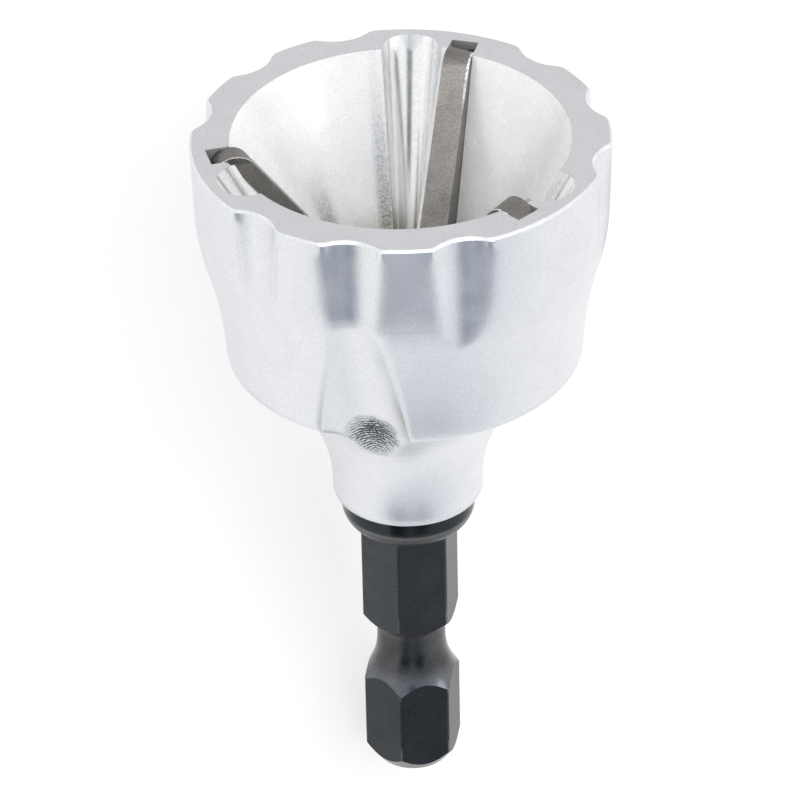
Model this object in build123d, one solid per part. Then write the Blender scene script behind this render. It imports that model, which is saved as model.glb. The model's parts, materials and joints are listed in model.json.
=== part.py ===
from build123d import *
import os
from math import acos, asin, atan2, cos, degrees, radians, sin, sqrt, tan

# A three-bladed outside chamfering bit: an aluminium head with a conical mouth, three blades
# seated in its wall, and a hexagonal shank held in its neck.
#
# Millimetres and degrees. Each piece is drawn upright, with the tool's axis on Z, the plane of
# the rim at height 0 and all of the tool but the blades' crowns below it. Depths count down
# from the rim. Azimuths count anticlockwise from +X, seen from above the mouth. At the end the
# whole tool is laid down the way it comes to rest on a table.

# Head, outside
rim_radius = 14.7
rim_edge = 0.2
band_radius = rim_radius - 0.17
band_depth = 5.5
shoulder_radius = rim_radius - 0.72
shoulder_depth = band_depth + 3.5
skirt_radius = rim_radius - 2.04
skirt_depth = shoulder_depth + 8.1
skirt_edge_round = 0.4
underside_slope = 34.0
neck_radius = 5.55
neck_end_radius = neck_radius - 0.15
neck_straight = 1.0
neck_edge_round = 0.35

# The cove that leads from the underside into the neck, and the corner that it rounds
cove_reach = skirt_radius - neck_radius
cove_radius = 1.77 * cove_reach
cove_corner_depth = skirt_depth + cove_reach * tan(radians(underside_slope))
cove_end_depth = cove_corner_depth + cove_radius * tan(radians(90 - underside_slope) / 2)
neck_end_depth = cove_end_depth + neck_straight

# Head, inside
rim_width = 2.77
mouth_radius = rim_radius - rim_width
cone_half_angle = 25.0
floor_depth = skirt_depth - 0.1
floor_thickness = 2.6
spigot_bore_radius = 3.0

# Scallops round the rim, three between each blade and the next
sector_count = 3
scallops_per_sector = 3
scallop_pitch = 30.0
first_scallop_offset = 31.5
scallop_radius = 3.2
scallop_depth = 0.9
scallop_draft = 1.5
scallop_edge_round = 0.9

# Long hollows in the outer wall, one under the middle scallop of each sector
hollow_radius = 3.2
hollow_top_radius = rim_radius - 0.3
hollow_top_depth = band_depth + 0.4
hollow_foot_radius = neck_radius + 1.75
hollow_foot_depth = skirt_depth + 4.9
hollow_overrun = 0.8

# Chip flutes in the cone, each along the leading side of its blade
flute_offset = 11.4
flute_radius = 2.1
flute_centre_radius = mouth_radius - 0.09

# Blades, plates seated in the cone with their leading face just behind the tool's axis
first_blade_azimuth = 74.5
blade_thickness = 1.9
blade_lag = 0.25
edge_mouth_radius = mouth_radius - 1.14
edge_half_angle = 35.9
edge_relief = 7.0
crown_radius = 1.7
crown_height = 0.18
blade_inner_radius = 1.6
blade_seat = 2.2
slot_side_play = 0.02
pocket_wall_radius = mouth_radius + 1.52
pocket_gap = 0.45
blade_tip_radius = pocket_wall_radius - pocket_gap

# Thin rib of the head that backs the leading side of each blade, lower than the cutting edge
rib_thickness = 0.5
rib_step = 1.25
rib_start_depth = 1.0
rib_root = 0.6

# Shank, its lengths counted on from the end of the neck
hex_across_flats = 6.35
hex_edge_round = 0.3
spigot_top_depth = floor_depth + floor_thickness
spigot_play = 0.01
spigot_chamfer = 0.4
serration_count = 16
serration_depth = 0.2
serration_margin = 1.5
collar_radius = 4.85
collar_depth = neck_end_depth + 1.0
collar_round = 2.0
upper_hex_end_depth = collar_depth + 9.7
groove_cone_angle = 42.0
groove_radius = 2.5
groove_flare_depth = upper_hex_end_depth + 2.5
groove_flare_radius = 6.0
shank_end_depth = groove_flare_depth + 10.6
end_chamfer_length = 1.3
end_chamfer_angle = 35.0

# Room left round a cutting shape so that it passes cleanly through what it cuts
cut_margin = 1.0


def on_section(radius, depth):
    """A point of the half section, as x and y of the XZ plane."""
    return (radius, -depth)


def turned(outline):
    """A closed outline in the half section, turned about the tool's axis."""
    return revolve(Plane.XZ * make_face(outline), Axis.Z)


def rounded(face, radius, depth, size):
    """The face with its corner nearest to a point of the half section rounded."""
    corner = face.vertices().sort_by_distance((radius, -depth, 0))[0]
    return fillet(corner, size)


def cone_radius(depth):
    return mouth_radius - depth * tan(radians(cone_half_angle))


def sector_azimuths(offset):
    """The azimuth of what stands at this offset from the blade, once for each sector."""
    return [first_blade_azimuth + offset + 360 / sector_count * n for n in range(sector_count)]


def head_blank():
    """The head's outside, before anything is cut into it."""
    band = Line(on_section(rim_radius, 0), on_section(band_radius, band_depth))
    shoulder = TangentArc(band @ 1, on_section(shoulder_radius, shoulder_depth), tangent=band % 1)
    skirt = TangentArc(shoulder @ 1, on_section(skirt_radius, skirt_depth), tangent=shoulder % 1)
    below = Polyline(
        on_section(skirt_radius, skirt_depth),
        on_section(neck_radius, cove_corner_depth),
        on_section(neck_end_radius, neck_end_depth),
        on_section(0, neck_end_depth),
        on_section(0, 0),
        on_section(rim_radius, 0),
    )
    face = make_face(Curve() + [band, shoulder, skirt, below])
    face = rounded(face, skirt_radius, skirt_depth, skirt_edge_round)
    face = rounded(face, neck_radius, cove_corner_depth, cove_radius)
    face = rounded(face, neck_end_radius, neck_end_depth, neck_edge_round)
    return revolve(Plane.XZ * face, Axis.Z)


def mouth():
    """The conical mouth, down to its flat floor."""
    outline = Polyline(
        on_section(0, -cut_margin),
        on_section(cone_radius(-cut_margin), -cut_margin),
        on_section(cone_radius(floor_depth), floor_depth),
        on_section(0, floor_depth),
        close=True,
    )
    return turned(outline)


def spigot_bore():
    """The blind bore in the neck that holds the shank's spigot."""
    length = neck_end_depth - spigot_top_depth + cut_margin
    bore = Cylinder(spigot_bore_radius, length, align=(Align.CENTER, Align.CENTER, Align.MAX))
    return Pos(0, 0, -spigot_top_depth) * bore


def rim_outline():
    """The rim seen from above: a circle with the scallops taken out and their crests rounded."""
    outline = Circle(rim_radius)
    bite = Pos(rim_radius - scallop_depth + scallop_radius, 0) * Circle(scallop_radius)
    for n in range(scallops_per_sector):
        outline -= around(bite, first_scallop_offset + n * scallop_pitch)
    return fillet(outline.vertices(), scallop_edge_round)


def scallop_envelope():
    """The rim's outline drawn down with a draft, so that the scallops fade out on the shoulder."""
    growth = skirt_depth * tan(radians(scallop_draft)) / (rim_radius - scallop_depth)
    outline = Pos(0, 0, cut_margin) * rim_outline()
    foot = Pos(0, 0, -skirt_depth) * scale(rim_outline(), 1 + growth)
    drafted = loft([outline, foot], ruled=True)
    return drafted + extrude(foot, skirt_depth - neck_end_depth - cut_margin)


def rim_envelope():
    """Everything below a bevel that runs round the rim's outer edge, in and out of the scallops."""
    bevel_depth = 2 * rim_edge
    narrow = scale(rim_outline(), 1 - rim_edge / rim_radius)
    wide = Pos(0, 0, -bevel_depth) * scale(rim_outline(), 1 + rim_edge / rim_radius)
    bevel = loft([narrow, wide], ruled=True)
    clear_radius = rim_radius + cut_margin
    below = extrude(Pos(0, 0, -bevel_depth) * Circle(clear_radius), bevel_depth - neck_end_depth - cut_margin)
    return bevel + below


def hollow():
    """A long round-bottomed hollow that slopes inwards, from under the rim to the neck."""
    top = Vector(hollow_top_radius, 0, -hollow_top_depth)
    foot = Vector(hollow_foot_radius, 0, -hollow_foot_depth)
    along = (foot - top).normalized()
    outwards = Vector(-along.Z, 0, along.X)
    start = top - along * hollow_radius + outwards * hollow_radius
    length = (foot - top).length + hollow_radius + hollow_overrun
    return extrude(Plane(origin=start, z_dir=along) * Circle(hollow_radius), length)


def flute():
    """A tapered flute whose walls run to the point where the cone would end."""
    apex_depth = mouth_radius / tan(radians(cone_half_angle))

    def section(depth):
        scale = 1 - depth / apex_depth
        return Pos(flute_centre_radius * scale, 0, -depth) * Circle(flute_radius * scale)

    return loft([section(-cut_margin), section(floor_depth)], ruled=True)


def edge_radius(depth, set_back=0):
    """The line of the cutting edge, or one set back from it by a perpendicular distance."""
    slope = radians(edge_half_angle)
    return edge_mouth_radius + set_back / cos(slope) - depth * tan(slope)


def edge_depth(radius, set_back=0):
    """The depth at which the line of the cutting edge reaches a radius."""
    return (edge_radius(0, set_back) - radius) / tan(radians(edge_half_angle))


def seat_radius(depth):
    """The line of the blade's back, set into the wall of the cone."""
    return cone_radius(depth) + blade_seat


def tip_depth():
    """The depth at which the blade's outer end meets its back."""
    return (seat_radius(0) - blade_tip_radius) / tan(radians(cone_half_angle))


def blade_profile(set_back):
    """The blade's outline, with its ground front and crown set back by the relief."""
    slope = radians(edge_half_angle)
    centre_height = crown_height - crown_radius
    centre = Vector(edge_radius(-centre_height, crown_radius), centre_height)
    arc_radius = crown_radius - set_back
    start = centre + Vector(-cos(slope), sin(slope)) * arc_radius
    tip_reach = blade_tip_radius - centre.X
    tip = centre + Vector(tip_reach, sqrt(arc_radius**2 - tip_reach**2))
    crown = ThreePointArc(start, centre + Vector(0, arc_radius), tip)
    rest = Polyline(
        tip,
        on_section(blade_tip_radius, tip_depth()),
        on_section(seat_radius(floor_depth), floor_depth),
        on_section(blade_inner_radius, floor_depth),
        on_section(blade_inner_radius, edge_depth(blade_inner_radius, set_back)),
        start,
    )
    return make_face(Curve() + [crown, rest])


def blade():
    """A blade on azimuth 0. Its cutting edge runs along the leading side."""
    relief = blade_thickness * tan(radians(edge_relief))
    leading = Plane.XZ.offset(blade_lag) * blade_profile(0)
    trailing = Plane.XZ.offset(blade_lag + blade_thickness) * blade_profile(relief)
    return loft([leading, trailing], ruled=True)


def blade_slot():
    """The slot and pocket that a blade sits in, open towards the mouth."""
    outline = Polyline(
        on_section(blade_inner_radius, -cut_margin),
        on_section(pocket_wall_radius, -cut_margin),
        on_section(pocket_wall_radius, tip_depth()),
        on_section(blade_tip_radius, tip_depth()),
        on_section(seat_radius(floor_depth), floor_depth),
        on_section(blade_inner_radius, floor_depth),
        close=True,
    )
    start = Plane.XZ.offset(blade_lag - slot_side_play)
    return extrude(start * make_face(outline), blade_thickness + 2 * slot_side_play)


def beside_blade(outline):
    """A plate against the leading face of a blade, as thick as the rib."""
    return extrude(Plane.XZ.offset(blade_lag) * make_face(outline), -rib_thickness)


def rib():
    outline = Polyline(
        on_section(edge_radius(rib_start_depth, rib_step), rib_start_depth),
        on_section(blade_inner_radius, edge_depth(blade_inner_radius, rib_step)),
        on_section(blade_inner_radius, floor_depth + rib_root),
        on_section(cone_radius(floor_depth) + rib_root, floor_depth + rib_root),
        on_section(cone_radius(rib_start_depth) + rib_root, rib_start_depth),
        close=True,
    )
    return beside_blade(outline)


def rib_clearance():
    """What is taken off the mouth's edge, so that the rib's top runs straight to the rim."""
    end_depth = 2 * rib_start_depth
    outline = Polyline(
        on_section(blade_inner_radius, -cut_margin),
        on_section(edge_radius(-cut_margin, rib_step), -cut_margin),
        on_section(edge_radius(end_depth, rib_step), end_depth),
        on_section(blade_inner_radius, end_depth),
        close=True,
    )
    return beside_blade(outline)


def around(cutter, offset):
    """Copies of a cutter, drawn on azimuth 0, at its offset in each sector."""
    return [Rot(Z=azimuth) * cutter for azimuth in sector_azimuths(offset)]


def head_outside():
    """The casting with its scallops and hollows, still solid inside."""
    body = head_blank() & scallop_envelope() & rim_envelope()
    return body - around(hollow(), hollow_offset())


def head():
    body = head_outside()
    body -= mouth()
    body += around(rib(), 0)
    body -= around(rib_clearance(), 0)
    body -= around(flute(), flute_offset)
    body -= around(blade_slot(), 0)
    body -= spigot_bore()
    return body


def spigot_and_collar():
    """The turned end of the shank: the spigot inside the neck and the collar below it."""
    spigot_radius = spigot_bore_radius - spigot_play
    foot_radius = collar_radius - collar_round
    foot_depth = collar_depth + collar_round
    straight = Polyline(
        on_section(foot_radius, foot_depth),
        on_section(0, foot_depth),
        on_section(0, spigot_top_depth),
        on_section(spigot_radius - spigot_chamfer, spigot_top_depth),
        on_section(spigot_radius, spigot_top_depth + spigot_chamfer),
        on_section(spigot_radius, neck_end_depth),
        on_section(collar_radius, neck_end_depth),
        on_section(collar_radius, collar_depth),
    )
    below = TangentArc(straight @ 1, straight @ 0, tangent=(0, -1))
    return turned(Curve() + [straight, below])


def serration():
    """One groove of the serrated band that keeps the spigot from turning in the neck."""
    spigot_radius = spigot_bore_radius - spigot_play
    point = Polyline(
        (spigot_radius - serration_depth, 0),
        (spigot_radius + cut_margin, serration_depth + cut_margin),
        (spigot_radius + cut_margin, -serration_depth - cut_margin),
        close=True,
    )
    bar = extrude(make_face(point), neck_end_depth - spigot_top_depth - 2 * serration_margin)
    return Pos(0, 0, -neck_end_depth + serration_margin) * bar


def hexagon_envelope():
    """The turned shape that bounds the hexagonal bar: its groove, flare and end chamfers."""
    corner_radius = hex_across_flats / 2 / cos(radians(30))
    clear_radius = corner_radius + cut_margin
    cone_slope = tan(radians(groove_cone_angle))
    chamfer_slope = tan(radians(end_chamfer_angle))
    above = Polyline(
        on_section(0, collar_depth),
        on_section(clear_radius, collar_depth),
        on_section(clear_radius, upper_hex_end_depth - cut_margin / cone_slope),
        on_section(groove_radius, upper_hex_end_depth + (corner_radius - groove_radius) / cone_slope),
        on_section(groove_radius, groove_flare_depth),
    )
    flare = CenterArc(
        on_section(groove_radius + groove_flare_radius, groove_flare_depth),
        groove_flare_radius,
        180,
        degrees(acos(1 - (clear_radius - groove_radius) / groove_flare_radius)),
    )
    below = Polyline(
        flare @ 1,
        on_section(clear_radius, shank_end_depth - end_chamfer_length - cut_margin / chamfer_slope),
        on_section(corner_radius - end_chamfer_length * chamfer_slope, shank_end_depth),
        on_section(0, shank_end_depth),
        on_section(0, collar_depth),
    )
    return turned(Curve() + [above, flare, below])


def shank():
    turn = first_blade_azimuth + hollow_offset()
    hexagon = RegularPolygon(hex_across_flats / 2, 6, major_radius=False)
    hexagon = fillet(hexagon.vertices(), hex_edge_round)
    bar = extrude(hexagon, shank_end_depth - collar_depth)
    bar = Pos(0, 0, -shank_end_depth) * Rot(Z=turn) * bar
    body = (bar & hexagon_envelope()) + spigot_and_collar()
    for n in range(serration_count):
        body -= Rot(Z=360 / serration_count * n) * serration()
    return body


def hollow_offset():
    """The hollow stands under the middle scallop of its sector."""
    return first_scallop_offset + scallop_pitch * (scallops_per_sector - 1) / 2


def lying(piece):
    """A piece turned from its upright place to the one it has on the table."""
    down_azimuth = first_blade_azimuth + hollow_offset()
    return Rot(X=90 - rest_tilt()) * Rot(Z=270 - down_azimuth) * piece


def rest_tilt():
    """How far the mouth tips up, with the skirt's edge and the shank's end on the table."""
    hollow_half_width = degrees(asin(hollow_radius / skirt_radius))
    skirt_drop = skirt_radius * cos(radians(hollow_half_width))
    corner_radius = hex_across_flats / 2 / cos(radians(30))
    length = shank_end_depth - end_chamfer_length - skirt_depth
    return degrees(atan2(skirt_drop - corner_radius, length))


def assemble():
    pieces = {"head": head(), "shank": shank()}
    for number, azimuth in enumerate(sector_azimuths(0), start=1):
        pieces["blade_" + str(number)] = Rot(Z=azimuth) * blade()
    laid = {name: lying(piece) for name, piece in pieces.items()}
    box = Compound(children=[Compound(piece.solids()) for piece in laid.values()]).bounding_box()
    centre = box.center()
    return {name: Pos(-centre.X, -centre.Y, -box.min.Z) * piece for name, piece in laid.items()}


os.makedirs("parts", exist_ok=True)
for name, piece in assemble().items():
    piece.label = name
    export_step(piece, os.path.join("parts", name + ".step"))
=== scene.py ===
import json
from collections import namedtuple
from math import acos, atan2, cos, degrees, pi, radians, sin, tan

import bpy
import numpy as np
from bpy.props import FloatProperty, FloatVectorProperty, PointerProperty
from mathutils import Matrix, Vector


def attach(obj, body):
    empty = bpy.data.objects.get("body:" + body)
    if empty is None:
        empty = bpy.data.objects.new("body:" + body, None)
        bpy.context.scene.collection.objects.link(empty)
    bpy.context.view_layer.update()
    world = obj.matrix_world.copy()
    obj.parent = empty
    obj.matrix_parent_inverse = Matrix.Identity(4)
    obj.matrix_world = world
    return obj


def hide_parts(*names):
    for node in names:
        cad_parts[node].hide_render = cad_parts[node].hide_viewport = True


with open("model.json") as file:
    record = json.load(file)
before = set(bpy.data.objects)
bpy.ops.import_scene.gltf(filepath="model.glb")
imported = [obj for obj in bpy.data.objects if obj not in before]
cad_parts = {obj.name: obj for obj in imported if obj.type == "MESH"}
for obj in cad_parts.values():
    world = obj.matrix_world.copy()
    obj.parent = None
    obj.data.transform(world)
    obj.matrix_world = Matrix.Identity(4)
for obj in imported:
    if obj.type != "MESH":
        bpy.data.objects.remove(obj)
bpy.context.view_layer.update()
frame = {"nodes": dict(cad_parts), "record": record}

bl_info = {
    "name": "Chamfering Bit",
    "version": (1, 0, 0),
    "blender": (4, 5, 0),
    "location": "3D View > Sidebar > Chamfering Bit",
    "description": "Dresses the pieces of a chamfering bit and sets a plain studio round it",
    "category": "Mesh",
}

MM = 0.001


def mount(name):
    """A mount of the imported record."""
    return next(entry for entry in frame["record"]["mounts"] if entry["name"] == name)


# Sizes of the tool in its own upright frame, in millimetres and degrees. The rim's centre is
# the origin there and the mouth opens upwards. Depths count down from the rim, azimuths from +X,
# and offsets from the nearest blade.
DOWN_AZIMUTH = 136.0
SECTORS = 3
SECTOR_ANGLE = 360 / SECTORS
FIRST_BLADE = 74.5
LEADING_FACE = 0.25
TRAILING_FACE = 2.15

# Rim and scallops
RIM_RADIUS = 14.7
SKIRT_DEPTH = 17.1
SCALLOPS_PER_SECTOR = 3
FIRST_SCALLOP_OFFSET = 31.5
SCALLOP_PITCH = 30.0
SCALLOP_RADIUS = 3.2
SCALLOP_DEPTH = 0.9
SCALLOP_DRAFT = 1.5
DRAFT_START = 1.0
CREST_RADIUS = 0.9

# Long hollows, each cut from a top to a foot, which are given as radius and depth
HOLLOW_OFFSET = FIRST_SCALLOP_OFFSET + SCALLOP_PITCH
HOLLOW_RADIUS = 3.2
HOLLOW_TOP = (14.4, 5.9)
HOLLOW_FOOT = (7.3, 22.0)

# Mouth and flutes
MOUTH_RADIUS = 11.93
CONE_SLOPE = tan(radians(25.0))
FLOOR_DEPTH = 17.0
FLUTE_OFFSET = 11.4
FLUTE_CENTRE_RADIUS = 11.84
FLUTE_RADIUS = 2.1

# Shank, with its depths counted back from its end
HEXAGON_SIDES = 6
HEXAGON_HALF_WIDTH = 3.175
HEXAGON_EDGE_ROUND = 0.3
SHANK_END = (Vector(mount("shank_end")["pos_m"]) - Vector(mount("mouth")["pos_m"])).length / MM
LOWER_HEXAGON_TOP = SHANK_END - 10.6
UPPER_HEXAGON_END = LOWER_HEXAGON_TOP - 2.5
COLLAR_FOOT = UPPER_HEXAGON_END - 9.7

# How a facet is matched with the round wall or the flat that it stands for
FLAT_AGREEMENT = 0.99999
FLAT_REACH = 0.01
WALL_REACH = 0.04
LEAST_SIDEWAYS = 0.02
FACET_SLACK = radians(0.6)
# Normals closer than this at a point belong to one smooth surface
JOIN_ANGLE = radians(18.0)

# Colours of marks on the metal, several of them painted light: painted reflections in streaks down the
# mouth, painted shade in the blades' slots, a patch whose dark is partly painted reflection, a painted
# highlight where the shank flares out, pale speckles that gather into a painted highlight, and a painted
# highlight along the blades' edges
REFLECTION_STREAK_COLOUR = (0.36, 0.40, 0.45)
SLOT_SHADE_COLOUR = (0.36, 0.355, 0.35)
PATCH_AND_REFLECTION_COLOUR = (0.09, 0.105, 0.11)
FLARE_HIGHLIGHT_COLOUR = (0.20, 0.21, 0.24)
RUBBED_COLOUR = (0.22, 0.22, 0.22)
NICK_COLOUR = (0.30, 0.30, 0.30)
SPECK_AND_HIGHLIGHT_COLOUR = (0.75, 0.74, 0.72)
EDGE_HIGHLIGHT_COLOUR = (0.80, 0.79, 0.77)

# The studio's white tent has zones of another tone, each whole round its middle and fading out
Zone = namedtuple("Zone", "azimuth elevation whole_to gone_at tone")
STUDIO_ZONES = (
    Zone(250.0, 65.0, 30.0, 80.0, (1.08, 1.08, 1.07)),
    Zone(45.0, 35.0, 0.0, 75.0, (0.80, 0.83, 0.88)),
    Zone(31.0, 15.0, 4.0, 25.0, (0.07, 0.10, 0.17)),
    Zone(56.0, 45.0, 4.0, 23.0, (0.07, 0.10, 0.17)),
    Zone(336.0, 47.0, 6.0, 14.0, (0.02, 0.03, 0.03)),
)
WHITE = (1.0, 1.0, 1.0)

# Floor, in metres, and its shares of white
FLOOR_SIZE = 4.0
FLOOR_GREY = 0.85
SHADOW_GREY = 0.3
FLOOR_GLOW = 0.75

# Camera, with its sensor in millimetres and its reach in metres
SENSOR_WIDTH = 36.0
NEAREST_SEEN = 0.01
FURTHEST_SEEN = 100.0


class FinishSettings(bpy.types.PropertyGroup):
    cast_colour: FloatVectorProperty(
        name="Casting",
        description="Colour of the satin cast wall",
        subtype="COLOR",
        size=3,
        default=(0.82, 0.83, 0.85),
    )
    rim_colour: FloatVectorProperty(
        name="Rim",
        description="Colour of the flat, matt rim",
        subtype="COLOR",
        size=3,
        default=(0.615, 0.62, 0.635),
    )
    # The mouth's pale colour is partly painted light, standing in part for the bright light that falls into
    # the mouth.
    cone_colour: FloatVectorProperty(
        name="Mouth",
        description="Colour of the cone inside the mouth",
        subtype="COLOR",
        size=3,
        default=(0.96, 0.96, 0.965),
    )
    foot_colour: FloatVectorProperty(
        name="Mouth's foot",
        description="Colour deep in the mouth",
        subtype="COLOR",
        size=3,
        default=(0.25, 0.235, 0.185),
    )
    black_colour: FloatVectorProperty(
        name="Blackened steel",
        description="Colour of the shank",
        subtype="COLOR",
        size=3,
        default=(0.06, 0.065, 0.07),
    )
    turned_colour: FloatVectorProperty(
        name="Turned steel",
        description="Colour of the shank's turned groove and ends",
        subtype="COLOR",
        size=3,
        default=(0.15, 0.14, 0.135),
    )
    collar_colour: FloatVectorProperty(
        name="Collar",
        description="Colour of the glossy collar",
        subtype="COLOR",
        size=3,
        default=(0.035, 0.04, 0.045),
    )
    blade_colour: FloatVectorProperty(
        name="Blade front",
        description="Colour of the blades' ground front",
        subtype="COLOR",
        size=3,
        default=(0.31, 0.293, 0.28),
    )
    blade_side_colour: FloatVectorProperty(
        name="Blade side",
        description="Colour of the blades' sides",
        subtype="COLOR",
        size=3,
        default=(0.235, 0.225, 0.205),
    )
    cast_roughness: FloatProperty(
        name="Casting roughness", description="How dull the cast wall is", default=0.36, min=0.0, max=1.0
    )
    cone_roughness: FloatProperty(
        name="Mouth roughness",
        description="How dull the cone inside the mouth is",
        default=0.26,
        min=0.0,
        max=1.0,
    )


class StageSettings(bpy.types.PropertyGroup):
    lens: FloatProperty(name="Lens", description="Focal length in millimetres", default=259.3, min=1.0)
    distance: FloatProperty(
        name="Distance", description="From the rim's centre to the camera", default=0.4, unit="LENGTH"
    )
    elevation: FloatProperty(
        name="Elevation",
        description="Height of the camera above the rim's plane",
        default=radians(31.77),
        subtype="ANGLE",
    )
    look_down: FloatProperty(
        name="Look down",
        description="How far below the level the camera looks",
        default=radians(34.39),
        subtype="ANGLE",
    )
    pan: FloatProperty(
        name="Pan", description="Turn of the view to the side", default=radians(0.076), subtype="ANGLE"
    )
    roll: FloatProperty(
        name="Roll", description="Roll of the camera", default=radians(-1.28), subtype="ANGLE"
    )
    lamp_distance: FloatProperty(
        name="Lamp distance", description="From the tool to each lamp", default=0.8, unit="LENGTH"
    )
    softbox_azimuth: FloatProperty(
        name="Softbox azimuth",
        description="Where the softbox stands, counted from +X",
        default=radians(193.0),
        subtype="ANGLE",
    )
    softbox_elevation: FloatProperty(
        name="Softbox elevation",
        description="How high the softbox stands",
        default=radians(66.0),
        subtype="ANGLE",
    )
    softbox_size: FloatProperty(
        name="Softbox size", description="Width of the round softbox", default=0.30, unit="LENGTH"
    )
    softbox_power: FloatProperty(
        name="Softbox power", description="Light of the softbox", default=0.42, unit="POWER"
    )
    fill_azimuth: FloatProperty(
        name="Fill azimuth",
        description="Where the lamp that shines into the mouth stands, counted from +X",
        default=radians(290.0),
        subtype="ANGLE",
    )
    fill_elevation: FloatProperty(
        name="Fill elevation",
        description="How high the lamp that shines into the mouth stands",
        default=radians(38.0),
        subtype="ANGLE",
    )
    fill_size: FloatProperty(
        name="Fill size", description="Width of the round fill lamp", default=0.60, unit="LENGTH"
    )
    fill_power: FloatProperty(
        name="Fill power", description="Light of the fill lamp", default=1.2, unit="POWER"
    )


def upright_to_world():
    """The matrix that lays the upright tool down as it rests on the table."""
    rim = mount("mouth")
    mouthwards = Vector(rim["axis"]).normalized()
    tilt = atan2(mouthwards.z, -mouthwards.y)
    lay_down = Matrix.Rotation(pi / 2 - tilt, 4, "X")
    turn = Matrix.Rotation(radians(270 - DOWN_AZIMUTH), 4, "Z")
    return Matrix.Translation(Vector(rim["pos_m"])) @ lay_down @ turn


def outwards(azimuth):
    """The level direction of an azimuth in the upright frame."""
    return np.array([cos(radians(azimuth)), sin(radians(azimuth)), 0.0])


# Along the tool's axis, and what takes the height out of a place
UPWARDS = np.array([0.0, 0.0, 1.0])
LEVEL = (1, 1, 0)


def grown_circles(azimuths, centre, radius, growth, start=0.0):
    """Round walls whose section at each height is a circle, scaled from the tool's axis.

    The circle has its given size and place at the start height, and grows by a share of them
    for each millimetre further down.
    """

    def form(azimuth):
        def across(points):
            share = 1 - growth * (points[:, 2] - start)
            offset = (points - outwards(azimuth) * centre * share[:, None]) * LEVEL
            return offset, radius * share

        return across, UPWARDS

    return [form(azimuth) for azimuth in azimuths]


def slanted_cylinders(azimuths, top, foot, radius):
    """Straight cylinders cut along a line from top to foot, both given as radius and depth."""

    def form(azimuth):
        out = outwards(azimuth)
        along = out * (foot[0] - top[0]) - UPWARDS * (foot[1] - top[1])
        along /= np.linalg.norm(along)
        away = out * -along[2] + UPWARDS * along.dot(out)
        start = out * top[0] - UPWARDS * top[1] + away * radius

        def across(points):
            offset = points - start
            return offset - np.outer(offset @ along, along), np.full(len(points), radius)

        return across, along

    return [form(azimuth) for azimuth in azimuths]


def crest_offset(scallop_centre, crest_centre):
    """How far a rounded crest's middle is from its scallop's, in degrees."""
    apart = SCALLOP_RADIUS + CREST_RADIUS
    cosine = (scallop_centre**2 + crest_centre**2 - apart**2) / (2 * scallop_centre * crest_centre)
    return degrees(acos(cosine))


def head_forms():
    """The round walls of the head that don't turn about its own axis."""
    blades = [FIRST_BLADE + SECTOR_ANGLE * n for n in range(SECTORS)]
    offsets = [FIRST_SCALLOP_OFFSET + SCALLOP_PITCH * n for n in range(SCALLOPS_PER_SECTOR)]
    scallops = [blade + offset for blade in blades for offset in offsets]
    scallop_centre = RIM_RADIUS - SCALLOP_DEPTH + SCALLOP_RADIUS
    crest_centre = RIM_RADIUS - CREST_RADIUS
    beside = crest_offset(scallop_centre, crest_centre)
    crests = [scallop + side * beside for scallop in scallops for side in (-1, 1)]
    widening = SKIRT_DEPTH * tan(radians(SCALLOP_DRAFT)) / (RIM_RADIUS - SCALLOP_DEPTH)
    growth = widening / (SKIRT_DEPTH + DRAFT_START)
    cone_apex_depth = MOUTH_RADIUS / CONE_SLOPE
    hollows = [blade + HOLLOW_OFFSET for blade in blades]
    flutes = [blade + FLUTE_OFFSET for blade in blades]
    return (
        grown_circles(scallops, scallop_centre, SCALLOP_RADIUS, growth, DRAFT_START)
        + grown_circles(crests, crest_centre, CREST_RADIUS, growth, DRAFT_START)
        + slanted_cylinders(hollows, HOLLOW_TOP, HOLLOW_FOOT, HOLLOW_RADIUS)
        + grown_circles(flutes, FLUTE_CENTRE_RADIUS, FLUTE_RADIUS, -1 / cone_apex_depth)
    )


def hexagon_forms():
    """The rounded edges of the hexagonal bar."""
    half_angle = pi / HEXAGON_SIDES
    centre = (HEXAGON_HALF_WIDTH - HEXAGON_EDGE_ROUND) / cos(half_angle)
    edges = [DOWN_AZIMUTH + 360 / HEXAGON_SIDES * n for n in range(HEXAGON_SIDES)]
    return grown_circles(edges, centre, HEXAGON_EDGE_ROUND, 0.0)


def hexagon_flats():
    """The flats of the hexagonal bar: which way each faces, and how far it is from the axis."""
    middles = [DOWN_AZIMUTH + 360 / HEXAGON_SIDES * (n + 0.5) for n in range(HEXAGON_SIDES)]
    return [(outwards(azimuth), HEXAGON_HALF_WIDTH) for azimuth in middles]


def lengths(vectors):
    return np.linalg.norm(vectors, axis=-1)


def own_axis(points):
    """The way across to each point from the tool's axis, for walls of any radius."""
    return points * LEVEL, None


def facing_flats(flats, places, corners, normals):
    """Which facets lie on one of the flats."""
    found = np.zeros(len(corners), bool)
    for towards, distance in flats:
        reached = np.abs(places @ towards - distance) < FLAT_REACH
        found |= (normals @ towards > FLAT_AGREEMENT) & reached[corners].all(1)
    return found


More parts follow.
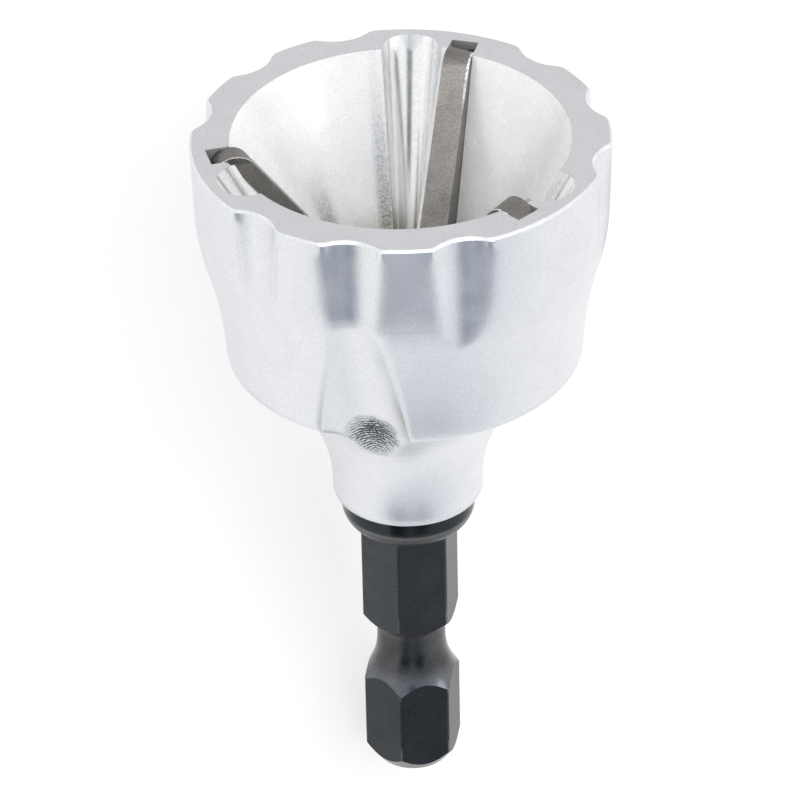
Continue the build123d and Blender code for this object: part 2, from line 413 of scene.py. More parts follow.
def on_round_wall(form, places, corners, normals):
    """Which facets stand for a round wall, and the wall's normals at their corners."""
    across, along = form
    offset, radius = across(places)
    distance = np.maximum(lengths(offset), 1e-9)
    outward = (offset / distance[:, None])[corners]
    lengthways = normals @ along
    sideways = normals - lengthways[:, None] * along
    share = lengths(sideways)
    level = sideways / np.maximum(share, 1e-9)[:, None]
    facing = np.einsum("fj,fcj->fc", level, outward)
    agreement = np.min([(outward[:, n - 1] * outward[:, n]).sum(1) for n in range(3)], axis=0)
    turn = np.arccos(np.clip(agreement, -1, 1)) + FACET_SLACK
    lean = np.arccos(np.clip(np.abs(facing), 0, 1)).max(1)
    fits = (share > LEAST_SIDEWAYS) & (lean < turn)
    if radius is not None:
        fits &= (np.abs(distance - radius) < WALL_REACH)[corners].all(1)
    side = np.sign(facing.sum(1))
    rounded = outward * (side * share)[:, None, None] + (lengthways[:, None] * along)[:, None]
    return fits, rounded


def corner_angles(places, corners):
    """The angle of each facet at each of its corners."""
    edges = [places[corners[:, (n + 1) % 3]] - places[corners[:, n]] for n in range(3)]
    edges = [edge / lengths(edge)[:, None] for edge in edges]
    cosines = [-(edges[n] * edges[n - 1]).sum(1) for n in range(3)]
    return np.arccos(np.clip(np.stack(cosines, axis=1), -1, 1))


def joined_where_alike(normals, weights, corners):
    """Normals averaged with those that nearly agree with them at the same point."""
    joined = np.empty_like(normals)
    order = np.argsort(corners, kind="stable")
    starts = np.flatnonzero(np.diff(corners[order]) > 0) + 1
    for loops in np.split(order, starts):
        around = normals[loops]
        alike = (around @ around.T > cos(JOIN_ANGLE)) * weights[loops]
        joined[loops] = alike @ around
    return joined / lengths(joined)[:, None]


def true_normals(piece, forms, flats, turned):
    """Give a merged CAD mesh the normals of the round walls that its flat facets stand for.

    A facet whose corners all lie on a round wall takes its normals from that wall, and so does
    one that turns about the tool's axis. Any other stays flat. Normals that nearly agree at a
    point are then joined.
    """
    mesh = piece.data
    to_upright = np.array(upright_to_world().inverted())
    rotation, shift = to_upright[:3, :3], to_upright[:3, 3]
    places = np.empty(len(mesh.vertices) * 3)
    mesh.vertices.foreach_get("co", places)
    places = (places.reshape(-1, 3) @ rotation.T + shift) / MM
    corners = np.empty(len(mesh.loops), int)
    mesh.loops.foreach_get("vertex_index", corners)
    corners = corners.reshape(-1, 3)

    first, second, third = (places[corners[:, n]] for n in range(3))
    plain = np.cross(second - first, third - first)
    plain /= lengths(plain)[:, None]
    normals = np.repeat(plain[:, None], 3, axis=1)
    free = ~facing_flats(flats, places, corners, plain)
    for form in forms + [(own_axis, UPWARDS)] * turned:
        fits, rounded = on_round_wall(form, places, corners, plain)
        fits &= free
        normals[fits] = rounded[fits]
        free &= ~fits
    normals /= lengths(normals)[..., None]

    weights = corner_angles(places, corners).reshape(-1)
    joined = joined_where_alike(normals.reshape(-1, 3), weights, corners.reshape(-1))
    mesh.normals_split_custom_set((joined @ rotation).tolist())


def smooth_copy(node, name, forms=(), flats=(), turned=True):
    """A merged copy of a CAD node with true normals."""
    source = frame["nodes"][node]
    piece = bpy.data.objects.new(name, source.data.copy())
    bpy.context.scene.collection.objects.link(piece)
    bpy.ops.object.select_all(action="DESELECT")
    piece.select_set(True)
    bpy.context.view_layer.objects.active = piece
    bpy.ops.object.mode_set(mode="EDIT")
    bpy.ops.mesh.select_all(action="SELECT")
    bpy.ops.mesh.remove_doubles(threshold=MM / 1000)
    bpy.ops.object.mode_set(mode="OBJECT")
    bpy.ops.object.shade_smooth()
    true_normals(piece, list(forms), flats, turned)
    return piece


def dress(piece, node, material):
    """Give a piece its material, and let it stand for its CAD node."""
    piece.data.materials.clear()
    piece.data.materials.append(material)
    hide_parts(node)
    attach(piece, "root")


# The colour sockets of a Mix node, which share their names with its other sockets
MIX_FIRST = 6
MIX_SECOND = 7
MIX_RESULT = 2


class NodeBuilder:
    """Places nodes in a tree and links them, so that a material reads as a list of steps."""

    def __init__(self, tree):
        self.tree = tree
        tree.nodes.clear()

    def add(self, kind, **values):
        node = self.tree.nodes.new(kind)
        for name, value in values.items():
            setattr(node, name, value)
        return node

    def link(self, source, target):
        self.tree.links.new(source, target)

    def put(self, socket, value):
        """Link a socket, or set its number."""
        if hasattr(value, "is_output"):
            self.link(value, socket)
        else:
            socket.default_value = value

    def math(self, operation, *values):
        node = self.add("ShaderNodeMath", operation=operation)
        for socket, value in zip(node.inputs, values):
            self.put(socket, value)
        return node.outputs[0]

    def times(self, first, *others):
        for other in others:
            first = self.math("MULTIPLY", first, other)
        return first

    def plus(self, first, *others):
        for other in others:
            first = self.math("ADD", first, other)
        return first

    def minus(self, first, second):
        return self.math("SUBTRACT", first, second)

    def without(self, share):
        """What a share leaves of 1."""
        return self.minus(1.0, share)

    def apart(self, first, second):
        """How far two values are from each other, either way."""
        return self.math("ABSOLUTE", self.minus(first, second))

    def ramp(self, value, low, high, to_low=0.0, to_high=1.0):
        """A smooth step from one value to another as the input goes from low to high."""
        node = self.add("ShaderNodeMapRange", interpolation_type="SMOOTHSTEP")
        for socket, number in zip(node.inputs, (value, low, high, to_low, to_high)):
            self.put(socket, number)
        return node.outputs[0]

    def band(self, value, start, whole_from, whole_to, end):
        """1 from one value to another, fading in from the start and out to the end."""
        return self.times(self.ramp(value, start, whole_from), self.ramp(value, end, whole_to))

    def mix(self, share, first, second):
        """A colour that goes from the first to the second, each a socket or three numbers."""
        node = self.add("ShaderNodeMix", data_type="RGBA")
        self.put(node.inputs["Factor"], share)
        for number, colour in ((MIX_FIRST, first), (MIX_SECOND, second)):
            self.put(node.inputs[number], colour if hasattr(colour, "is_output") else (*colour, 1))
        return node.outputs[MIX_RESULT]

    def scaled(self, colour, share):
        """A colour made lighter or darker by a share."""
        node = self.add("ShaderNodeVectorMath", operation="SCALE")
        self.put(node.inputs[0], colour)
        self.put(node.inputs["Scale"], share)
        return node.outputs[0]

    def pair(self, first, second):
        """A flat place made of two values."""
        node = self.add("ShaderNodeCombineXYZ")
        self.put(node.inputs[0], first)
        self.put(node.inputs[1], second)
        return node.outputs[0]

    def noise(self, place, scale, detail, roughness):
        node = self.add("ShaderNodeTexNoise")
        self.put(node.inputs["Vector"], place)
        self.put(node.inputs["Scale"], scale)
        self.put(node.inputs["Detail"], detail)
        self.put(node.inputs["Roughness"], roughness)
        return node.outputs["Fac"]

    def bump(self, height, normal=None):
        """The normal of a surface with a height in millimetres."""
        node = self.add("ShaderNodeBump")
        self.put(node.inputs["Height"], height)
        self.put(node.inputs["Distance"], MM)
        self.put(node.inputs["Strength"], 1.0)
        if normal is not None:
            self.link(normal, node.inputs["Normal"])
        return node.outputs["Normal"]


class Spot:
    """A spot of a surface as sockets: its place in the upright frame, radius and depth."""

    def __init__(self, build):
        self.build = build
        coordinates = build.add("ShaderNodeTexCoord")
        mapping = build.add("ShaderNodeMapping", vector_type="POINT")
        to_upright = Matrix.Scale(1 / MM, 4) @ upright_to_world().inverted()
        mapping.inputs["Location"].default_value = to_upright.to_translation()
        mapping.inputs["Rotation"].default_value = to_upright.to_euler()
        mapping.inputs["Scale"].default_value = (1 / MM, 1 / MM, 1 / MM)
        build.link(coordinates.outputs["Object"], mapping.inputs["Vector"])
        split = build.add("ShaderNodeSeparateXYZ")
        self.place = mapping.outputs["Vector"]
        build.link(self.place, split.inputs[0])
        self.x, self.y, height = split.outputs
        self.depth = build.times(height, -1.0)
        self.radius = build.math(
            "SQRT", build.plus(build.times(self.x, self.x), build.times(self.y, self.y))
        )

    def turn_from(self, azimuth, count):
        """The angle from the nearest of some evenly spaced directions, of which one is given."""
        from_first = self.build.minus(self.build.math("ARCTAN2", self.y, self.x), radians(azimuth))
        return self.build.math("WRAP", from_first, pi / count, -pi / count)

    def sideways(self, turn):
        """How far the spot lies to the side of a direction that it is turned from."""
        return self.build.times(self.radius, self.build.math("SINE", turn))

    def forwards(self, turn):
        """How far the spot lies along a direction that it is turned from."""
        return self.build.times(self.radius, self.build.math("COSINE", turn))

    def behind_blade(self):
        """How far the spot lies behind the plane through the axis at its blade's azimuth."""
        return self.build.times(self.sideways(self.turn_from(FIRST_BLADE, SECTORS)), -1.0)


# Broad clouds and small pits of the grain
CLOUDS_PER_MM = 0.45
PITS_PER_GRAIN = 0.6
PIT_EDGE = 0.08


def metal_grain():
    """The group that every metal here takes its grain from, built once."""
    group = bpy.data.node_groups.get("metal grain")
    if group:
        return group
    group = bpy.data.node_groups.new("metal grain", "ShaderNodeTree")
    place = group.interface.new_socket("Place", in_out="INPUT", socket_type="NodeSocketVector")
    place.hide_value = True
    fineness = group.interface.new_socket("Grains per mm", in_out="INPUT", socket_type="NodeSocketFloat")
    fineness.default_value = 4.0
    share = group.interface.new_socket("Pit share", in_out="INPUT", socket_type="NodeSocketFloat")
    share.default_value = 0.3
    for name in ("Grain", "Cloud", "Pits"):
        group.interface.new_socket(name, in_out="OUTPUT", socket_type="NodeSocketFloat")
    build = NodeBuilder(group)
    given = build.add("NodeGroupInput").outputs
    made = build.add("NodeGroupOutput").inputs
    build.link(build.noise(given["Place"], given["Grains per mm"], 3.0, 0.6), made["Grain"])
    build.link(build.noise(given["Place"], CLOUDS_PER_MM, 3.0, 0.55), made["Cloud"])
    spots = build.noise(given["Place"], build.times(given["Grains per mm"], PITS_PER_GRAIN), 2.0, 0.5)
    edge = build.without(given["Pit share"])
    build.link(build.ramp(spots, edge, build.plus(edge, PIT_EDGE)), made["Pits"])
    return group


def add_grain(build, spot, fineness, pit_share):
    """The group's outputs Grain, Cloud and Pits, each from 0 to 1."""
    node = build.add("ShaderNodeGroup", node_tree=metal_grain())
    build.link(spot.place, node.inputs["Place"])
    node.inputs["Grains per mm"].default_value = fineness
    node.inputs["Pit share"].default_value = pit_share
    return node.outputs["Grain"], node.outputs["Cloud"], node.outputs["Pits"]


def new_material(name):
    material = bpy.data.materials.new(name)
    material.use_nodes = True
    build = NodeBuilder(material.node_tree)
    output = build.add("ShaderNodeOutputMaterial")
    shader = build.add("ShaderNodeBsdfPrincipled")
    build.link(shader.outputs[0], output.inputs["Surface"])
    return material, build, shader


def cast_regions(build, spot):
    """The shares of the flat rim, of the mouth's inside and of the outer wall."""
    rim = build.ramp(spot.depth, 0.06, 0.02)
    # A cone that runs down inside the casting's wall parts its inner face from its outer one
    parting_top = 13.75
    parting_slope = 0.35
    parting_radius = build.minus(parting_top, build.times(spot.depth, parting_slope))
    inside = build.ramp(build.minus(parting_radius, spot.radius), -0.05, 0.05)
    inside = build.times(inside, build.ramp(spot.depth, FLOOR_DEPTH + 0.4, FLOOR_DEPTH + 0.2))
    inside = build.times(inside, build.without(rim))
    outer = build.minus(build.without(inside), rim)
    return rim, inside, outer


def mould_patch(build, spot, cloud, outer):
    """The rough patch that the mould leaves at each hollow's foot, as it fans out. Its dark colour is
    partly a painted reflection of dark surroundings.

    Gives its share, how far out a spot lies in it, and its curved ridges.
    """
    centre_depth = 19.4
    half_width = 2.15
    half_length = 2.5
    to_side = 0.3
    fan_centre = 2.3
    side = build.plus(spot.sideways(spot.turn_from(FIRST_BLADE + HOLLOW_OFFSET, SECTORS)), to_side)
    down = build.minus(spot.depth, centre_depth)
    ripples = build.add("ShaderNodeTexWave", wave_type="RINGS", rings_direction="SPHERICAL")
    build.link(build.pair(side, build.minus(down, fan_centre)), ripples.inputs["Vector"])
    ripples.inputs["Scale"].default_value = 1.15
    ripples.inputs["Distortion"].default_value = 8.0
    ripples.inputs["Detail"].default_value = 4.0
    ripples.inputs["Detail Scale"].default_value = 1.6
    ripples.inputs["Detail Roughness"].default_value = 0.75
    across = build.math("DIVIDE", side, half_width)
    along = build.math("DIVIDE", down, half_length)
    reach = build.plus(build.times(across, across), build.times(along, along))
    reach = build.plus(reach, build.times(build.minus(cloud, 0.5), 1.2))
    return build.times(build.ramp(reach, 1.15, 0.35), outer), reach, ripples.outputs["Fac"]


def flute_share(build, spot, turn, inside):
    """The share of the round flutes, at an angle from the nearest one's middle."""
    cone_radius = build.minus(MOUTH_RADIUS + 0.02, build.times(spot.depth, CONE_SLOPE))
    beyond_cone = build.minus(spot.forwards(turn), cone_radius)
    within = build.ramp(build.math("ABSOLUTE", spot.sideways(turn)), FLUTE_RADIUS + 0.2, FLUTE_RADIUS - 0.1)
    return build.times(build.ramp(beyond_cone, 0.02, 0.3), inside, within)


def cone_reflection_streaks(build, spot, turn, grain, pits):
    """Two speckled darker streaks down the cone, beside each flute and near halfway to the next: painted
    reflections of dark things.
    """
    near_azimuth = radians(13.6)
    far_azimuth = radians(50.0)
    near_half_width = build.ramp(spot.depth, 0.0, 12.0, radians(2.5), radians(7.0))
    near = build.math("DIVIDE", build.apart(turn, near_azimuth), near_half_width)
    near = build.times(build.ramp(near, 1.0, 0.2), build.ramp(spot.depth, 1.5, 9.0, 0.15, 0.9))
    far = build.ramp(build.apart(turn, far_azimuth), radians(9.0), radians(2.0))
    far = build.times(far, build.ramp(spot.depth, 5.5, 10.5, 0.0, 0.85))
    speckled = build.times(build.plus(near, far), build.ramp(pits, 0.0, 1.0, 1.0, 0.35))
    return build.times(speckled, build.ramp(grain, 0.38, 0.62, 1.0, 0.5))


def shaded_slot_walls(build, spot, inside):
    """The share of the walls of the blades' slots, outside the cone, which are darkened as painted shade.
    """
    behind = build.band(
        spot.behind_blade(),
        LEADING_FACE - 0.1,
        LEADING_FACE - 0.05,
        TRAILING_FACE + 0.05,
        TRAILING_FACE + 0.15,
    )
    return build.times(behind, build.ramp(spot.radius, MOUTH_RADIUS + 0.27, MOUTH_RADIUS + 0.67), inside)


def cast_aluminium():
    """Satin casting with a matt rim, a bright speckled mouth and a rough patch in each hollow. The mouth's
    brightness is partly painted light.
    """
    finish = bpy.context.scene.bit_finish
    material, build, shader = new_material("cast aluminium")
    spot = Spot(build)
    depth = spot.depth
    grain, cloud, pits = add_grain(build, spot, 6.5, 0.36)
    rim, inside, outer = cast_regions(build, spot)
    patch, reach, ridges = mould_patch(build, spot, cloud, outer)
    from_flute = spot.turn_from(FIRST_BLADE + FLUTE_OFFSET, SECTORS)
    flute = flute_share(build, spot, from_flute, inside)
    streak = build.times(cone_reflection_streaks(build, spot, from_flute, grain, pits), build.minus(inside, flute))
    slot = shaded_slot_walls(build, spot, inside)

    colour = build.mix(rim, finish.cast_colour, finish.rim_colour)
    # The mouth's pale colour is partly painted light, standing in part for the bright light that falls into
    # the mouth.
    colour = build.mix(inside, colour, finish.cone_colour)
    # Painted reflection: the streaks darken the mouth where the metal would reflect dark things, and take
    # the foot's colour deep down.
    reflection_streak_colour = build.mix(build.ramp(depth, 8.5, 11.0), REFLECTION_STREAK_COLOUR, finish.foot_colour)
    colour = build.mix(streak, colour, reflection_streak_colour)
    # Painted shade: the slots' walls are darkened where shade falls beside the blades.
    colour = build.mix(slot, colour, SLOT_SHADE_COLOUR)
    ragged_depth = build.plus(depth, build.times(cloud, 2.0))
    foot = build.times(inside, build.ramp(ragged_depth, 10.5, 15.5, 0.0, 0.9))
    colour = build.mix(foot, colour, finish.foot_colour)
    # The patch's dark colour between its ridges is partly painted reflection and partly the rough cast
    # texture.
    crest = build.plus(ridges, build.times(build.minus(reach, 0.40), 1.1))
    crest = build.plus(crest, build.times(build.minus(grain, 0.5), 1.6))
    colour = build.mix(build.times(build.ramp(crest, 0.62, 0.35), patch), colour, PATCH_AND_REFLECTION_COLOUR)
    shade = build.times(build.ramp(grain, 0.3, 0.7, 0.93, 1.05), build.ramp(cloud, 0.3, 0.7, 0.975, 1.02))
    shade = build.times(shade, build.ramp(build.times(pits, rim), 0.0, 1.0, 1.0, 0.84))
    build.link(build.scaled(colour, shade), shader.inputs["Base Color"])

    # The inside of the mouth scatters light much as paint does, and its flutes far less
    scattering = build.times(inside, build.minus(0.86, build.times(flute, 0.72)))
    build.link(build.without(scattering), shader.inputs["Metallic"])
    rough = build.plus(
        build.times(outer, finish.cast_roughness),
        build.times(rim, 0.55),
        build.times(inside, finish.cone_roughness),
        build.ramp(cloud, 0.3, 0.7, -0.02, 0.03),
        build.times(patch, 0.12),
        build.times(flute, -0.05),
    )
    build.link(rough, shader.inputs["Roughness"])

    # Cast edges are soft on the outer wall, most of all on its band, and crisp round the mouth
    rounding = build.minus(build.ramp(depth, 0.3, 1.5, 0.05, 1.7), build.ramp(depth, 6.5, 9.0, 0.0, 0.8))
    soft = build.add("ShaderNodeBevel", samples=8)
    build.link(build.times(outer, rounding, MM), soft.inputs["Radius"])
    seam = build.times(build.ramp(depth, 6.65, 6.95), outer)
    height = build.plus(
        build.times(grain, build.minus(0.0036, build.times(inside, 0.0022))),
        build.times(pits, rim, -0.006),
        build.times(ridges, patch, 0.12),
        build.times(seam, 0.006),
    )
    build.link(build.bump(height, soft.outputs["Normal"]), shader.inputs["Normal"])
    return material


def shank_regions(build, spot, from_flat):
    """The shares of the hexagon's flats, of the collar and of what is turned."""
    depth = spot.depth
    to_flat = spot.forwards(from_flat)
    below_collar = build.ramp(depth, COLLAR_FOOT + 0.4, COLLAR_FOOT + 0.8)
    flat = build.ramp(to_flat, HEXAGON_HALF_WIDTH - 0.015, HEXAGON_HALF_WIDTH - 0.003)
    flat = build.times(flat, below_collar)
    upper = build.band(
        depth, COLLAR_FOOT + 1.6, COLLAR_FOOT + 2.2, UPPER_HEXAGON_END - 1.5, UPPER_HEXAGON_END - 0.9
    )
    lower = build.band(
        depth, LOWER_HEXAGON_TOP + 3.4, LOWER_HEXAGON_TOP + 4.2, SHANK_END - 2.6, SHANK_END - 2.0
    )
    flat = build.math("MAXIMUM", flat, build.plus(upper, lower))
    collar = build.ramp(depth, COLLAR_FOOT + 0.4, COLLAR_FOOT + 0.15)
    turned = build.minus(build.without(flat), collar)
    return flat, collar, turned


def blackened_steel():
    """Blackened steel with turning rings, worn where it was turned and rubbed along the corners, with a
    painted highlight where it flares out at the lower hexagon.
    """
    finish = bpy.context.scene.bit_finish
    material, build, shader = new_material("blackened steel")
    spot = Spot(build)
    depth = spot.depth
    grain, cloud, _ = add_grain(build, spot, 6.0, 0.30)
    from_flat = spot.turn_from(DOWN_AZIMUTH + 180 / HEXAGON_SIDES, HEXAGON_SIDES)
    flat, collar, turned = shank_regions(build, spot, from_flat)

    rings = build.pair(build.times(spot.radius, 1.5), build.times(depth, 9.0))
    ring = build.noise(rings, 1.0, 2.0, 0.6)
    waist = build.band(
        depth, UPPER_HEXAGON_END + 0.7, UPPER_HEXAGON_END + 1.9, SHANK_END - 3.8, SHANK_END - 3.2
    )
    worn = build.times(turned, build.ramp(cloud, 0.25, 0.65, 0.7, 1.0))
    worn = build.times(worn, build.without(build.times(waist, 0.78)))
    corner = build.ramp(build.math("ABSOLUTE", from_flat), radians(28.4), radians(29.8))
    corner = build.times(corner, build.ramp(depth, COLLAR_FOOT + 0.4, COLLAR_FOOT + 0.8))
    rubbed = build.times(corner, build.ramp(grain, 0.52, 0.66, 0.0, 0.5))
    nicks = build.times(build.ramp(build.noise(spot.place, 2.6, 5.0, 0.7), 0.70, 0.74), flat)
    # A painted highlight on the turned part where the shank flares out at the lower hexagon's top, kept off
    # the flats.
    flare_highlight = build.band(
        depth,
        LOWER_HEXAGON_TOP + 1.6,
        LOWER_HEXAGON_TOP + 2.8,
        LOWER_HEXAGON_TOP + 3.2,
        LOWER_HEXAGON_TOP + 3.8,
    )
    to_flat = spot.forwards(from_flat)
    on_flat = build.ramp(to_flat, HEXAGON_HALF_WIDTH - 0.013, HEXAGON_HALF_WIDTH - 0.003)
    flare_highlight = build.times(flare_highlight, build.without(on_flat))

    colour = build.mix(worn, finish.black_colour, finish.turned_colour)
    colour = build.mix(build.times(flare_highlight, 0.5), colour, FLARE_HIGHLIGHT_COLOUR)
    colour = build.mix(collar, colour, finish.collar_colour)
    colour = build.mix(build.times(rubbed, 0.5), colour, RUBBED_COLOUR)
    colour = build.mix(build.times(nicks, 0.5), colour, NICK_COLOUR)
    shade = build.times(build.ramp(grain, 0.3, 0.7, 0.86, 1.14), build.ramp(cloud, 0.3, 0.7, 0.9, 1.1))
    darker = build.ramp(depth, LOWER_HEXAGON_TOP - 0.8, LOWER_HEXAGON_TOP + 3.2, 0.0, 0.25)
    shade = build.times(shade, build.without(build.times(flat, darker)))
    build.link(build.scaled(colour, shade), shader.inputs["Base Color"])
    shader.inputs["Metallic"].default_value = 1.0

    polish = build.ramp(depth, LOWER_HEXAGON_TOP + 0.2, LOWER_HEXAGON_TOP + 1.4, 0.02, 0.13)
    rough = build.minus(build.ramp(grain, 0.3, 0.7, 0.30, 0.38), build.times(turned, polish))
    rough = build.minus(rough, build.times(collar, 0.18))
    build.link(rough, shader.inputs["Roughness"])
    height = build.plus(
        build.times(grain, build.without(collar), 0.0025),
        build.times(ring, turned, 0.004),
        build.times(nicks, -0.01),
    )
    build.link(build.bump(height), shader.inputs["Normal"])
    return material


def painted_edge_highlight(build, spot, behind, grain):
    """A painted highlight: the pale line where light catches the rounded edge of a blade's front, near the
    rim.

    It runs along the trailing edge on one side of the tool and the leading edge on the other.
    """
    trailing_side_end = -2.0
    within_side = build.minus(spot.x, trailing_side_end)
    to_trailing = build.math("MINIMUM", build.minus(TRAILING_FACE, behind), within_side)
    to_leading = build.times(build.math("LESS_THAN", spot.x, 0.0), build.minus(behind, LEADING_FACE))
    to_edge = build.math("MAXIMUM", to_trailing, to_leading)
    edge_highlight = build.band(to_edge, 0.0, 0.02, 0.10, 0.22)
    return build.times(edge_highlight, build.ramp(grain, 0.35, 0.55, 0.4, 1.0), build.ramp(spot.depth, 3.5, 1.5))


def blade_steel():
    """Hardened steel with a ground, speckled front between its darker sides, and painted highlights along
    the front's edges.
    """
    finish = bpy.context.scene.bit_finish
    material, build, shader = new_material("blade steel")
    spot = Spot(build)
    grain, cloud, _ = add_grain(build, spot, 7.0, 0.30)
    behind = spot.behind_blade()
    front = build.band(
        behind, LEADING_FACE + 0.01, LEADING_FACE + 0.05, TRAILING_FACE - 0.05, TRAILING_FACE - 0.01
    )
    # Pale speckles on the ground front, which gather towards the trailing edge into a painted highlight.
    specks_and_highlight = build.ramp(build.noise(spot.place, 9.0, 2.0, 0.5), 0.66, 0.70)
    specks_and_highlight = build.times(specks_and_highlight, build.ramp(behind, 1.4, 2.1, 0.12, 1.0), front)
    edge_highlight = painted_edge_highlight(build, spot, behind, grain)

    colour = build.mix(front, finish.blade_side_colour, finish.blade_colour)
    colour = build.mix(build.times(specks_and_highlight, 0.6), colour, SPECK_AND_HIGHLIGHT_COLOUR)
    # Painted highlight along the blade's edge, which the darker crown spares.
    colour = build.mix(build.times(edge_highlight, 0.9), colour, EDGE_HIGHLIGHT_COLOUR)
    shade = build.times(build.ramp(grain, 0.25, 0.75, 0.75, 1.25), build.ramp(cloud, 0.3, 0.7, 0.9, 1.12))
    shade = build.times(shade, build.ramp(spot.depth, 2.0, 12.0, 1.0, 0.65))
    crown = build.minus(build.ramp(spot.depth, 0.6, 0.2), edge_highlight)
    shade = build.times(shade, build.ramp(crown, 0.0, 1.0, 1.0, 0.62))
    build.link(build.scaled(colour, shade), shader.inputs["Base Color"])
    shader.inputs["Metallic"].default_value = 1.0
    rough = build.plus(build.ramp(grain, 0.3, 0.7, 0.34, 0.42), build.times(front, 0.10))
    build.link(rough, shader.inputs["Roughness"])
    height = build.times(grain, build.plus(0.003, build.times(front, 0.008)))
    build.link(build.bump(height), shader.inputs["Normal"])
    return material


class BIT_OT_head(bpy.types.Operator):
    """Dress the cast head"""

    bl_idname = "chamfering_bit.head"
    bl_label = "Cast Head"

    def execute(self, context):
        piece = smooth_copy("head", "cast_head", head_forms())
        dress(piece, "head", cast_aluminium())
        return {"FINISHED"}


class BIT_OT_shank(bpy.types.Operator):
    """Dress the turned shank"""

    bl_idname = "chamfering_bit.shank"
    bl_label = "Shank"

    def execute(self, context):
        piece = smooth_copy("shank", "turned_shank", hexagon_forms(), hexagon_flats())
        dress(piece, "shank", blackened_steel())
        return {"FINISHED"}


class BIT_OT_blades(bpy.types.Operator):
    """Dress the blades"""

    bl_idname = "chamfering_bit.blades"
    bl_label = "Blades"

    def execute(self, context):
        material = blade_steel()
        for node in sorted(name for name in frame["nodes"] if name.startswith("blade_")):
            piece = smooth_copy(node, "ground_" + node, turned=False)
            dress(piece, node, material)
        return {"FINISHED"}


def direction(azimuth, elevation):
    """The direction towards a place in the studio, from angles in radians."""
    level = cos(elevation)
    return Vector((level * cos(azimuth), level * sin(azimuth), sin(elevation)))


def add_tent(scene):
    """A white world that the camera sees as plain white, with its zones for all else."""
    world = bpy.data.worlds.new("white tent")
    scene.world = world
    world.use_nodes = True
    build = NodeBuilder(world.node_tree)
    output = build.add("ShaderNodeOutputWorld")
    background = build.add("ShaderNodeBackground")
    towards = build.add("ShaderNodeTexCoord").outputs["Generated"]
    colour = WHITE
    for zone in STUDIO_ZONES:
        agreement = build.add("ShaderNodeVectorMath", operation="DOT_PRODUCT")
        build.link(towards, agreement.inputs[0])
        agreement.inputs[1].default_value = direction(radians(zone.azimuth), radians(zone.elevation))
        gone, whole = cos(radians(zone.gone_at)), cos(radians(zone.whole_to))
        colour = build.mix(build.ramp(agreement.outputs["Value"], gone, whole), colour, zone.tone)
    path = build.add("ShaderNodeLightPath")
    colour = build.mix(path.outputs["Is Camera Ray"], colour, WHITE)
    build.link(colour, background.inputs["Color"])
    build.link(background.outputs[0], output.inputs["Surface"])


def add_lamp(scene, name, towards, distance, size, power):
    """A round area lamp that stands in a direction from the tool and faces it."""
    data = bpy.data.lights.new(name, "AREA")
    data.shape = "DISK"
    data.size = size
    data.energy = power
    lamp = bpy.data.objects.new(name, data)
    lamp.location = towards * distance
    lamp.rotation_euler = towards.to_track_quat("Z", "Y").to_euler()
    scene.collection.objects.link(lamp)


def floor_white():
    """Pale grey to the light, and to the eye a white that still takes the tool's shadow."""
    material = bpy.data.materials.new("floor white")
    material.use_nodes = True
    build = NodeBuilder(material.node_tree)
    output = build.add("ShaderNodeOutputMaterial")
    path = build.add("ShaderNodeLightPath").outputs
    seen = build.math("MAXIMUM", path["Is Camera Ray"], path["Is Glossy Ray"])
    seen = build.math("MAXIMUM", seen, path["Is Transmission Ray"])
    lit = build.add("ShaderNodeBsdfDiffuse")
    lit.inputs["Color"].default_value = (FLOOR_GREY, FLOOR_GREY, FLOOR_GREY, 1)
    shadowed = build.add("ShaderNodeBsdfDiffuse")
    shadowed.inputs["Color"].default_value = (SHADOW_GREY, SHADOW_GREY, SHADOW_GREY, 1)
    glow = build.add("ShaderNodeEmission")
    glow.inputs["Strength"].default_value = FLOOR_GLOW
    white = build.add("ShaderNodeAddShader")
    build.link(shadowed.outputs[0], white.inputs[0])
    build.link(glow.outputs[0], white.inputs[1])
    chosen = build.add("ShaderNodeMixShader")
    build.link(seen, chosen.inputs[0])
    build.link(lit.outputs[0], chosen.inputs[1])
    build.link(white.outputs[0], chosen.inputs[2])
    build.link(chosen.outputs[0], output.inputs["Surface"])
    return material


def add_floor():
    bpy.ops.object.select_all(action="DESELECT")
    bpy.ops.mesh.primitive_plane_add(size=FLOOR_SIZE, location=(0, 0, 0))
    floor = bpy.context.active_object
    floor.name = "floor"
    floor.data.materials.append(floor_white())


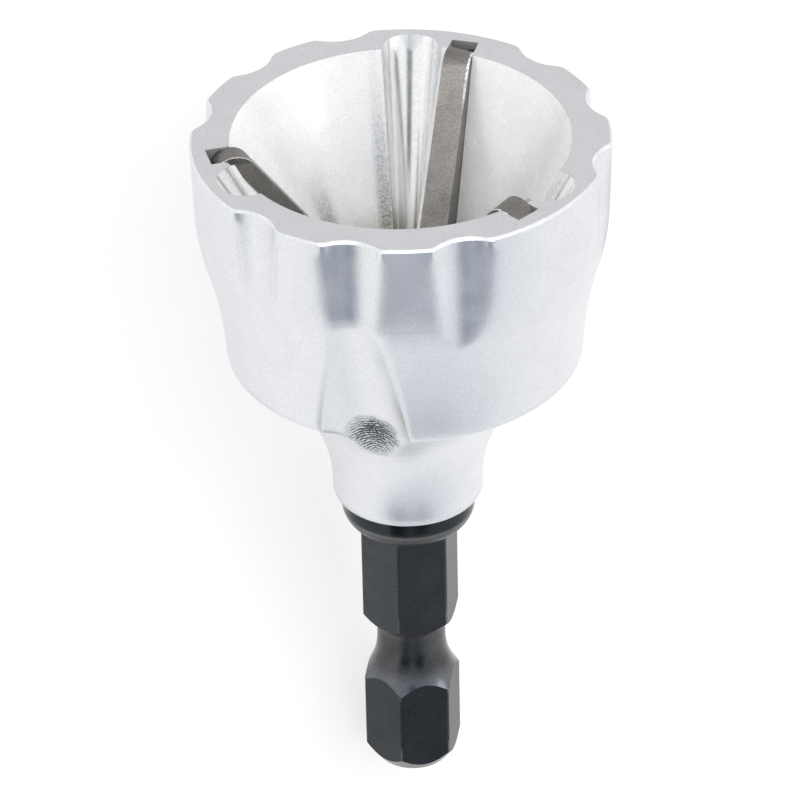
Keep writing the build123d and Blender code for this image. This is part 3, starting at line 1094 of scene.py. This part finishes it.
def add_camera(scene, stage):
    """The camera, placed round the upright tool and laid down with it."""
    camera = bpy.data.cameras.new("camera")
    camera.lens = stage.lens
    camera.sensor_width = SENSOR_WIDTH
    camera.clip_start = NEAREST_SEEN
    camera.clip_end = FURTHEST_SEEN
    holder = bpy.data.objects.new("camera", camera)
    scene.collection.objects.link(holder)
    place = Vector((0, -cos(stage.elevation), sin(stage.elevation))) * stage.distance
    look = Matrix.Rotation(stage.pan, 4, "Z") @ Matrix.Rotation(pi / 2 - stage.look_down, 4, "X")
    roll = Matrix.Rotation(stage.roll, 4, "Z")
    holder.matrix_world = upright_to_world() @ Matrix.Translation(place) @ look @ roll
    scene.camera = holder


class BIT_OT_stage(bpy.types.Operator):
    """Set the floor, the light and the camera"""

    bl_idname = "chamfering_bit.stage"
    bl_label = "Stage"

    def execute(self, context):
        scene = context.scene
        stage = scene.bit_stage
        add_tent(scene)
        softbox = direction(stage.softbox_azimuth, stage.softbox_elevation)
        add_lamp(scene, "softbox", softbox, stage.lamp_distance, stage.softbox_size, stage.softbox_power)
        fill = direction(stage.fill_azimuth, stage.fill_elevation)
        add_lamp(scene, "fill", fill, stage.lamp_distance, stage.fill_size, stage.fill_power)
        add_floor()
        add_camera(scene, stage)
        scene.view_settings.view_transform = "Standard"
        return {"FINISHED"}


class BIT_PT_sidebar(bpy.types.Panel):
    bl_label = "Chamfering Bit"
    bl_idname = "BIT_PT_sidebar"
    bl_space_type = "VIEW_3D"
    bl_region_type = "UI"
    bl_category = "Chamfering Bit"

    def draw(self, context):
        for operator in OPERATORS:
            self.layout.operator(operator.bl_idname)
        for group in (context.scene.bit_finish, context.scene.bit_stage):
            for name in group.bl_rna.properties.keys():
                if name not in {"rna_type", "name"}:
                    self.layout.prop(group, name)


OPERATORS = (BIT_OT_head, BIT_OT_shank, BIT_OT_blades, BIT_OT_stage)
CLASSES = (FinishSettings, StageSettings) + OPERATORS + (BIT_PT_sidebar,)


def register():
    for item in CLASSES:
        bpy.utils.register_class(item)
    bpy.types.Scene.bit_finish = PointerProperty(type=FinishSettings)
    bpy.types.Scene.bit_stage = PointerProperty(type=StageSettings)


def unregister():
    del bpy.types.Scene.bit_finish
    del bpy.types.Scene.bit_stage
    for item in reversed(CLASSES):
        bpy.utils.unregister_class(item)


def main():
    register()
    bpy.ops.chamfering_bit.head()
    bpy.ops.chamfering_bit.shank()
    bpy.ops.chamfering_bit.blades()
    bpy.ops.chamfering_bit.stage()


if __name__ == "__main__":
    main()
